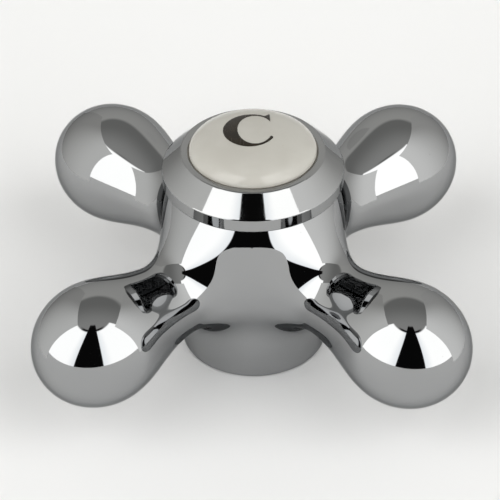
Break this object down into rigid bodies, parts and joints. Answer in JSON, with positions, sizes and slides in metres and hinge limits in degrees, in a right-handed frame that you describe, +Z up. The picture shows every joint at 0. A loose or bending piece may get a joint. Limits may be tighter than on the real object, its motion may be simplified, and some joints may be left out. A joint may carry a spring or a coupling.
{
  "type": "tap handle",
  "caption": "Cross-shaped chrome tap handle with bulb-ended spokes, a bevelled ring round a domed porcelain index button, and a splined socket under a round skirt for the valve stem.",
  "frame": {"origin": "centre of the skirt's bottom rim, where the handle stands", "axes": "+Z up the valve stem's axis; the spokes lie on the diagonals of X and Y, and the letter on the button reads upright from the -Y side"},
  "size_m": [0.0614, 0.0614, 0.0364],
  "materials": {
    "chrome_plate": "mirror-polished chrome plate on a zinc alloy casting",
    "ring_chrome": "mirror-polished chrome plate on turned brass",
    "porcelain": "warm white glazed porcelain",
    "letter_ink": "brown-black letter fired under the glaze",
    "bush_brass": "turned and broached brass",
    "screw_steel": "plain stainless steel screw"
  },
  "bodies": {
    "root": {"handle_body": "chrome_plate", "button_ring": "ring_chrome", "index_button": "porcelain", "spline_bush": "bush_brass", "handle_screw": "screw_steel"}
  },
  "joints": []
}
